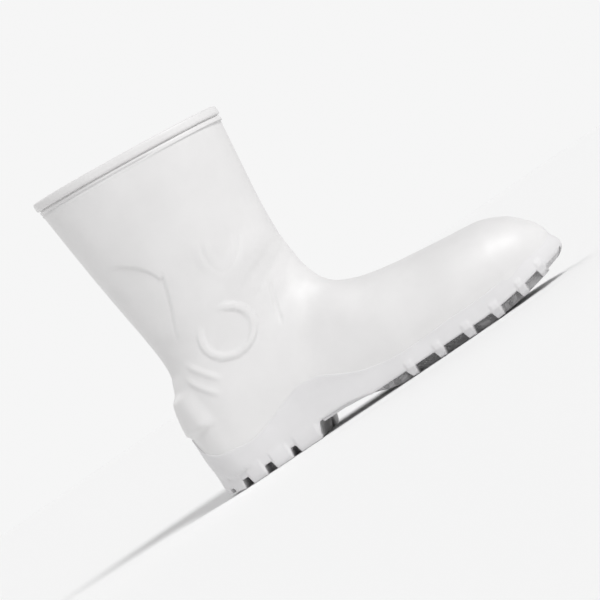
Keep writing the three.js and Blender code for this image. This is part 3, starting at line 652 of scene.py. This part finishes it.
def grooves(x, y):
    deep = np.zeros(x.shape)
    for line, depth, half in GROOVES:
        deep = np.maximum(deep, depth * swell(line_distance(x, y, rounded_line(line))[0], half))
    for notch in TOE_NOTCHES:
        deep = np.maximum(deep, NOTCH_DEPTH * (1 - smooth(1.0, 2.2, line_distance(x, y, notch)[0])))
    for facet in HEEL_FACETS:
        deep = np.maximum(deep, FACET_DEPTH * smooth(0.0, 3.2, inside_distance(x, y, facet)))
    return deep


print("arch panel stands", PANEL_PROUD, "mm out and the nubs", NUB_PROUD, "mm")

# %% [markdown]
# The bars of the forefoot curve up before they reach the edge and run on as short ridges on the side of
# the sole. The heel's blocks stop square at the edge, and the outer ones slope down from a channel. The
# height is mixed from the face and the floor by how far a place lies down the sloped wall between them.

# %% Heights under the sole
OUTER_SLOPE = 5.6       # how far the heel's outer blocks rise to their channel
POCKET_DEPTH = 5.2
WRAP_DEPTH = 1.7        # the rough band round the toe lies this far behind the face
HEEL_EDGE = 0.8         # width and height of the rounded edge under the heel
FORE_WIDER, FORE_HIGHER, WRAP_WIDER = 6.2, 4.9, 3.0     # what the forefoot and the toe add to it
FLOOR_EDGE = 1.6, 0.9   # width and height of the edge between the bars
LUG_TEXTURE = 0.55      # share of the full roughness on the heel's inner lugs


def tread_height(x, y, gap):
    """Height of the sole's underside, and how much of the tread's texture each place has."""
    px = x - PLAN_START
    raised, pocket, notch = tread_distances(px, y)
    top = np.minimum(np.minimum(raised, -pocket), -notch)
    fore = smooth(100, 152, px)             # 0 under the heel, 1 from the ball to the toe
    wrap = smooth(-1, 1, inside_distance(px, y, TOE_WRAP))
    slope = OUTER_SLOPE * smooth(12, 16, y) * (1 - smooth(16, 28, y))
    slope = slope * (1 - smooth(93, 97, px)) * smooth(31, 34, px)
    face = toe_spring(x) + np.maximum(arch_height(x), slope) + heel_bevel(x)
    face = face + rounded_edge(gap, HEEL_EDGE + FORE_WIDER * fore + WRAP_WIDER * wrap,
                               HEEL_EDGE + FORE_HIGHER * fore)
    floor = toe_spring(x) + np.maximum(LUG_DEPTH, arch_height(x)) + rounded_edge(gap, *FLOOR_EDGE)
    pocket_floor = toe_spring(x) + arch_height(x) + POCKET_DEPTH
    floor = floor + (face + WRAP_DEPTH - floor) * wrap
    low = np.where((raised > 0) & (notch < -DRAFT), pocket_floor, floor)
    wall = np.clip(-top / DRAFT, 0, 1)
    height = face + (low - face) * wall
    under_arch = smooth(89, 95, px) * (1 - smooth(140, 152, px))
    height = height - arch_details(px, y, gap) * under_arch + grooves(px, y) * smooth(0, 2.5, gap)
    rough_floor = smooth(0.8, 1.0, wall) * smooth(140, 150, px)
    lugs = np.max([inside_distance(px, y, plan_bar(e, -48, -19)) for e in HEEL_INNER], axis=0)
    texture = np.maximum(rough_floor, wrap * smooth(283, 288, px))
    texture = np.maximum(texture, LUG_TEXTURE * smooth(0.2, 1.2, lugs))
    return height, texture * smooth(0.4, 1.6, gap), np.clip(raised, -1, 1)


under_z, under_texture, under_raised = tread_height(plan_x, plan_y, plan_gap)
print("tread lies between", round(float(under_z.min()), 2), "and", round(float(under_z.max()), 2), "mm")

# %% [markdown]
# The sides of the sole rise from the tread's edge and lap over the foot of the upper. How far in the
# upper lies is felt for with rays from outside, square to the outline, so that the lap fits the upper
# closely all the way round. At its top edge the lap is a thin lip, 0.7 mm proud, fainter over the inner
# arch and gone at the toe, with a rounded rim.

# %% Where the upper lies behind the sole's side
NO_SKIN = -9.0          # stands for a place where the upper is far inside, in mm
RAY_START, RAY_LENGTH = 30.0, 70.0


def outline_normals():
    tangent = np.roll(edge_line, -1, axis=0) - np.roll(edge_line, 1, axis=0)
    normal = np.stack([tangent[:, 1], -tangent[:, 0]], axis=1)
    normal /= np.linalg.norm(normal, axis=1, keepdims=True)
    away = edge_line - edge_line.mean(axis=0)
    normal *= np.sign((normal * away).sum(axis=1).mean())
    inner = normal[:ALONG + 1]
    outer = np.concatenate([normal[:1], normal[:ALONG:-1], normal[ALONG:ALONG + 1]])
    return inner, outer


def upper_offset(point, normal, z):
    """Where the upper's skin lies along the outline's normal, in mm, negative inside the outline."""
    start = Vector((point[0] + RAY_START * normal[0], point[1] + RAY_START * normal[1], z)) * MM
    hit = upper_tree.ray_cast(start, Vector((-normal[0], -normal[1], 0)), RAY_LENGTH * MM)
    return RAY_START - hit[3] / MM if hit[0] is not None else NO_SKIN


inner_normals, outer_normals_plan = outline_normals()
print("the upper is felt for at", len(inner_normals), "places on each side")

# %% [markdown]
# On the real sole the bars run up its side as low ridges and end under a smooth band, and the band ends
# in the lip. So the side is one profile for each place of the outline, bottom to top, with the ridges
# added. It is the way a sweep along the outline would make it, with a section that changes as it goes.

# %% Profile of the sole's side
SIDE_STEPS = 13
LIP_PROUD = 0.7         # how far the lip stands out of the upper
LIP_FADE = 1.1          # taken off that at the toe, where no lip shows
LIP_FADE_ARCH = 0.4     # taken off it over the inner arch
BAR_RIDGE = 1.0
SKIN_LIMIT = 3.5        # a hit further out than this isn't the foot of the upper
SKIN_FROM = 12          # height over the toe's spring from which the upper is felt for
RIDGE_FADE, NUB_FADE = (9.5, 13.5), (14, 17.5)      # heights between which they run out


def side_profile(station, side, normal):
    """Points from the tread's edge up to the lip and down behind it, as offset and height."""
    x = float(edge_x[station])
    y = float(edge_mid[station] + side * edge_half[station])
    column = 0 if side < 0 else ACROSS - 1
    low = float(under_z[station, column])
    table = FOXING_INNER if side < 0 else FOXING_OUTER
    top = float(along([r[0] for r in table], [r[1] for r in table], np.array(x)))
    feather, seat, spring = float(feather_line(x)), float(foot_seat(x)), float(toe_spring(x))
    lobe = float(smooth(-104, -86, x) * (1 - smooth(-30, -8, x))) if side < 0 else 0.0
    proud = LIP_PROUD - LIP_FADE * float(smooth(92, 118, x)) - LIP_FADE_ARCH * lobe
    at_lip = upper_offset((x, y), normal, top) + proud
    bar = float(smooth(-0.8, 0.8, under_raised[station, column]))
    bar = bar * (1 - 0.6 * float(smooth(50, 20, x - PLAN_START)))
    off = min(abs(x - PLAN_START - middle) for middle in FLEX_NUBS)
    nub = 1 - float(smooth(1.4, 2.7, off)) if side > 0 else 0.0
    points = []
    for step in range(1, SIDE_STEPS + 1):
        z = low + (top - 0.6 - low) * step / SIDE_STEPS
        blend = float(smooth(9 + spring, top, z))
        skin = upper_offset((x, y), normal, z) + proud if z > SKIN_FROM + spring else NO_SKIN
        offset = max(blend * at_lip, skin if skin < SKIN_LIMIT else NO_SKIN)
        ridge = BAR_RIDGE * bar * (1 - float(smooth(RIDGE_FADE[0] + spring, RIDGE_FADE[1] + spring, z)))
        ridge += NUB_PROUD * nub * (1 - float(smooth(*NUB_FADE, z)))
        points.append((offset + ridge, z))
    at_feather = upper_offset((x, y), normal, feather + 1.5)
    points += [(at_lip - 0.15, top - 0.2), (at_lip - 0.5, top), (at_lip - 1.9, top - 0.1)]
    points += [(at_feather - 1.2, feather + 1.2), (at_feather - 3.0, feather + 1.2),
               (at_feather - 3.1, seat)]
    return points


half_way = side_profile(ALONG // 2, -1, inner_normals[ALONG // 2])
print("half way along, the inner side's profile has", len(half_way), "points")

# %% [markdown]
# One closed ring at each place of the outline goes across the tread, up the outer side, over the seat
# that the insole lies on and down the inner side. Rings of equal length are what the grid helper needs.

# %% Rings of the sole
SEAT_STEPS = 8
sole_rings, sole_texture = [], []
for i in range(ALONG + 1):
    sides = {}
    for side, normals in ((-1, inner_normals), (1, outer_normals_plan)):
        n = normals[i]
        base = (edge_x[i], edge_mid[i] + side * edge_half[i])
        profile = side_profile(i, side, n)
        sides[side] = [(base[0] + n[0] * o, base[1] + n[1] * o, z) for o, z in profile]
    bottom = list(zip(plan_x[i], plan_y[i], under_z[i]))
    ends = np.array(sides[1][-1]), np.array(sides[-1][-1])
    seat = [tuple(ends[0] + (ends[1] - ends[0]) * k / SEAT_STEPS) for k in range(1, SEAT_STEPS)]
    ring = bottom + sides[1] + seat + sides[-1][::-1]
    sole_rings.append(ring)
    sole_texture.append(list(under_texture[i]) + [0.0] * (len(ring) - ACROSS))
sole_rings = np.array(sole_rings)
print("sole:", sole_rings.shape[0], "rings of", sole_rings.shape[1], "points")

# %% [markdown]
# The rings close to a line at the heel and at the toe, where the two sides meet, and the weld joins them.
# The share of texture goes along as an attribute of each point, so that the material can tell a rough
# floor from a smooth face. It is read back by place, because the weld renumbers the points.

# %% The outsole
bm = grid_over(sole_rings)
textured = bm.verts.layers.float.new("tread_texture")
places = np.round(sole_rings.reshape(-1, 3), 2)
texture_at = {tuple(p): t for p, t in zip(places.tolist(), np.array(sole_texture).ravel())}
for v in bm.verts:
    v[textured] = texture_at.get(tuple(np.round(np.array(v.co) / MM, 2).tolist()), 0.0)
bmesh.ops.holes_fill(bm, edges=open_edges(bm), sides=0)
outsole = finish_piece(bm, "boot_outsole")
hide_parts("outsole")

# %% [markdown]
# ## Finishes
#
# Every colour is written as it would be picked on a screen and turned to the linear light that the shader
# works in. One helper adds a node, sets its sockets and links it, and two short
# ones use it for a noise and for a bump.

# %% Colour and node helpers
def colour(code):
    parts = [int(code[i:i + 2], 16) / 255 for i in (1, 3, 5)]
    return tuple(c / 12.92 if c <= 0.04045 else ((c + 0.055) / 1.055) ** 2.4 for c in parts) + (1.0,)


def add_node(tree, kind, links=None, values=None, **settings):
    node = tree.nodes.new(kind)
    for name, value in settings.items():
        setattr(node, name, value)
    for socket, value in (values or {}).items():
        node.inputs[socket].default_value = value
    for socket, source in (links or {}).items():
        tree.links.new(source, node.inputs[socket])
    return node


def new_finish(name, **sockets):
    finish = bpy.data.materials.new(name)
    finish.use_nodes = True
    tree = finish.node_tree
    shader = tree.nodes["Principled BSDF"]
    for socket, value in sockets.items():
        shader.inputs[socket.replace("_", " ")].default_value = value
    place = add_node(tree, "ShaderNodeTexCoord").outputs["Object"]
    return finish, tree, shader, place


def per_metre(millimetres):
    """Noise scale for a pattern of that pitch."""
    return 1000.0 / millimetres


def noise(tree, place, pitch, detail, **more):
    return add_node(tree, "ShaderNodeTexNoise", {"Vector": place},
                    {"Scale": per_metre(pitch), "Detail": detail, **more}).outputs["Fac"]


def bump(tree, height, strength, distance, under=None):
    """A bump on its own or on top of another one."""
    links = {"Height": height} if under is None else {"Height": height, "Normal": under}
    return add_node(tree, "ShaderNodeBump", links,
                    {"Strength": strength, "Distance": distance}).outputs["Normal"]


# %% [markdown]
# Injection-moulded PVC is a soft white plastic with a thin skin from the steel of the mould. It looks
# satin, with a very fine peel, and slow hollows where it cooled unevenly. Handling leaves faint dull
# scuffs. The peel is drawn at 0.9 mm, a little coarser than life, so that it shows at this picture's
# size.

# %% White PVC of the upper
CLOUD_PITCH, SCUFF_PITCH, HOLLOW_PITCH, PEEL_PITCH = 38, 11, 26, 0.9    # mm


def blotches(tree, place, pitch, detail, low, high, stretch=None):
    at = place
    if stretch:
        at = add_node(tree, "ShaderNodeMapping", {"Vector": place}, {"Scale": stretch}).outputs["Vector"]
    return add_node(tree, "ShaderNodeMapRange", {"Value": noise(tree, at, pitch, detail, Roughness=0.55)},
                    {"From Min": 0.35, "From Max": 0.65, "To Min": low, "To Max": high}).outputs["Result"]


def two_tones(tree, shader, factor, light, shade):
    tone = add_node(tree, "ShaderNodeMix", {"Factor": factor}, data_type="RGBA")
    tone.inputs["A"].default_value = colour(light)
    tone.inputs["B"].default_value = colour(shade)
    tree.links.new(tone.outputs["Result"], shader.inputs["Base Color"])


def moulded_pvc(name, light, shade, roughness, peel):
    finish, tree, shader, place = new_finish(name, IOR=1.53, Coat_Weight=0.08, Coat_Roughness=0.4)
    two_tones(tree, shader, blotches(tree, place, CLOUD_PITCH, 3, 0.0, 1.0), light, shade)
    dull = blotches(tree, place, SCUFF_PITCH, 4, roughness - 0.05, roughness + 0.06, (1.0, 1.0, 0.35))
    tree.links.new(dull, shader.inputs["Roughness"])
    hollows = bump(tree, noise(tree, place, HOLLOW_PITCH, 1), 0.35, 0.0006)
    skin = bump(tree, noise(tree, place, PEEL_PITCH, 2), peel, 0.00004, hollows)
    tree.links.new(skin, shader.inputs["Normal"])
    return finish, tree, shader, skin


upper_pvc, *_ = moulded_pvc("injection_moulded_white_pvc", "#dedddd", "#dad9d9", 0.46, 0.5)
upper.data.materials.append(upper_pvc)
print("finish:", upper_pvc.name)

# %% [markdown]
# The sole is the same plastic with a harder, duller mix. Its two whites are set a shade greyer than the
# upper's, which is painted shade: the grey stands for the shadow the sole lies in. The floors between its
# bars were eroded into the mould with a spark, which leaves short wandering furrows about 2 mm apart. The
# walls of a cell pattern and a twisted noise, added together, give such furrows, and the attribute keeps
# them off the faces that touch the floor.

# %% Tougher PVC of the sole
CELL_PITCH, FURROW_PITCH = 2.1, 1.9     # mm
# the sole's two whites, a shade greyer than the upper's, are painted shade
sole_pvc, tree, shader, skin = moulded_pvc("spark_textured_sole_pvc", "#dad9da", "#d5d4d5", 0.55, 0.7)
place = tree.nodes["Texture Coordinate"].outputs["Object"]
share_of = add_node(tree, "ShaderNodeAttribute", attribute_name="tread_texture").outputs["Fac"]
cells = add_node(tree, "ShaderNodeTexVoronoi", {"Vector": place}, {"Scale": per_metre(CELL_PITCH)},
                 feature="DISTANCE_TO_EDGE")
furrows = noise(tree, place, FURROW_PITCH, 2, Distortion=1.6)
rough = add_node(tree, "ShaderNodeMath", {0: cells.outputs["Distance"], 1: furrows}, operation="ADD")
held = add_node(tree, "ShaderNodeMath", {0: rough.outputs[0], 1: share_of}, operation="MULTIPLY")
grain = bump(tree, held.outputs[0], 1.0, 0.0013, skin)
tree.links.new(grain, shader.inputs["Normal"])
outsole.data.materials.append(sole_pvc)
print("finish:", sole_pvc.name)

# %% [markdown]
# The loose insole is needled felt, cut flat and trodden to the boot. It has no gloss, and short fibres
# lie on it in all directions. Its solid has the right shape, so it stays and only gets this finish.

# %% Needled felt of the insole
FLUFF_PITCH, FIBRE_PITCH = 1.6, 0.8     # mm
felt, tree, shader, place = new_finish("needled_grey_felt", Roughness=0.95, Sheen_Weight=0.25)
two_tones(tree, shader, blotches(tree, place, FLUFF_PITCH, 5, 0.0, 1.0), "#d0cfc9", "#bab9b2")
nap = bump(tree, noise(tree, place, FIBRE_PITCH, 5), 0.7, 0.0004)
tree.links.new(nap, shader.inputs["Normal"])
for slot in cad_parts["insole"].material_slots:
    slot.material = felt
print("finish:", felt.name)

# %% [markdown]
# ## Studio
#
# Such boots are photographed on a white table in a white tent. The floor is a wide disc, and its grey is
# set so that under all the lamps together it comes out as bright as the sky behind it, so no horizon
# crosses the picture. The boot's own white is a little deeper than that, as in the picture.

# %% Floor
FLOOR_RADIUS, FLOOR_DROP = 9.0, 0.0002
bm = bmesh.new()
bmesh.ops.create_circle(bm, cap_ends=True, segments=96, radius=FLOOR_RADIUS,
                        matrix=Matrix.Translation((0, 0, -FLOOR_DROP)))
floor_mesh = bpy.data.meshes.new("studio_floor")
bm.to_mesh(floor_mesh)
bm.free()
floor = bpy.data.objects.new("studio_floor", floor_mesh)
bpy.context.scene.collection.objects.link(floor)
paper, *_ = new_finish("matt_white_paper", Base_Color=colour("#f4f4f4"), Roughness=0.95,
                       Specular_IOR_Level=0.0)
floor_mesh.materials.append(paper)
print("floor is", FLOOR_RADIUS * 2, "m across")

# %% [markdown]
# The tent's walls are bright up to about twenty degrees and dim towards its roof, which the sky stands
# for. Its light alone would leave a white form flat, so a strong lamp stands over the toe on the inner
# side and a weak one opposite. Both are wide, so that the shadows have soft edges, and far away, so that
# the floor is lit alike everywhere.

# %% Lights
def soft_sun(name, towards, spread, strength):
    """A light from very far, so that it falls evenly on the boot and the floor."""
    lamp = bpy.data.lights.new(name, "SUN")
    lamp.angle = math.radians(spread)
    lamp.energy = strength
    light = bpy.data.objects.new(name, lamp)
    light.rotation_euler = Vector(towards).to_track_quat("Z", "Y").to_euler()
    bpy.context.scene.collection.objects.link(light)


soft_sun("key", (0.50, -0.48, 0.72), 18, 1.85)
soft_sun("fill", (-0.55, 0.55, 0.62), 40, 0.45)
TENT_WALL, TENT_ROOF = 0.92, 0.38
WALL_ENDS, ROOF_STARTS = 0.3, 0.6       # as the upward part of the direction, 1 straight up
world = bpy.data.worlds.new("studio_world")
world.use_nodes = True
tent = world.node_tree
towards = add_node(tent, "ShaderNodeTexCoord").outputs["Generated"]
rise = add_node(tent, "ShaderNodeSeparateXYZ", {"Vector": towards}).outputs["Z"]
glow = add_node(tent, "ShaderNodeMapRange", {"Value": rise},
                {"From Min": WALL_ENDS, "From Max": ROOF_STARTS, "To Min": TENT_WALL, "To Max": TENT_ROOF},
                interpolation_type="SMOOTHSTEP")
tent.links.new(glow.outputs["Result"], tent.nodes["Background"].inputs["Strength"])
tent.nodes["Background"].inputs["Color"].default_value = (1, 1, 1, 1)
bpy.context.scene.world = world
bpy.context.scene.view_settings.view_transform = "Standard"

# %% [markdown]
# ## Camera
#
# The boot was photographed from its inner side and a little from the toe, tipped so that its sole shows.
# Here it stands, so the camera keeps its place round the boot and its roll, and comes down near the
# floor, where it looks level at the boot. A long lens far away keeps the picture's flat perspective.

# %% Camera
AZIMUTH, ELEVATION, ROLL = 10.6, 0.0, 34.5
DISTANCE, LENS = 2.3, 192.0
AIM_HEIGHT, AIM_RIGHT, AIM_UP = 0.118, -0.007, -0.039
camera_data = bpy.data.cameras.new("camera")
camera_data.lens = LENS
camera = bpy.data.objects.new("camera", camera_data)
a, e = math.radians(AZIMUTH), math.radians(ELEVATION)
away = Vector((math.sin(a) * math.cos(e), -math.cos(a) * math.cos(e), math.sin(e)))
level = (-away).to_track_quat("-Z", "Y").to_matrix().to_4x4()
turn = level @ Matrix.Rotation(math.radians(-ROLL), 4, "Z")
right, up = turn.col[0].to_3d(), turn.col[1].to_3d()
aim = Vector((0.0, 0.0, AIM_HEIGHT)) + AIM_RIGHT * right + AIM_UP * up
camera.matrix_world = Matrix.Translation(aim + away * DISTANCE) @ turn
bpy.context.scene.collection.objects.link(camera)
bpy.context.scene.camera = camera
print("camera stands", round(camera.matrix_world.translation.z, 3), "m above the floor")

# %% [markdown]
# The detail should add less than a millimetre to the boot's size.

# %% Bringing the scene up to date
bpy.context.view_layer.update()
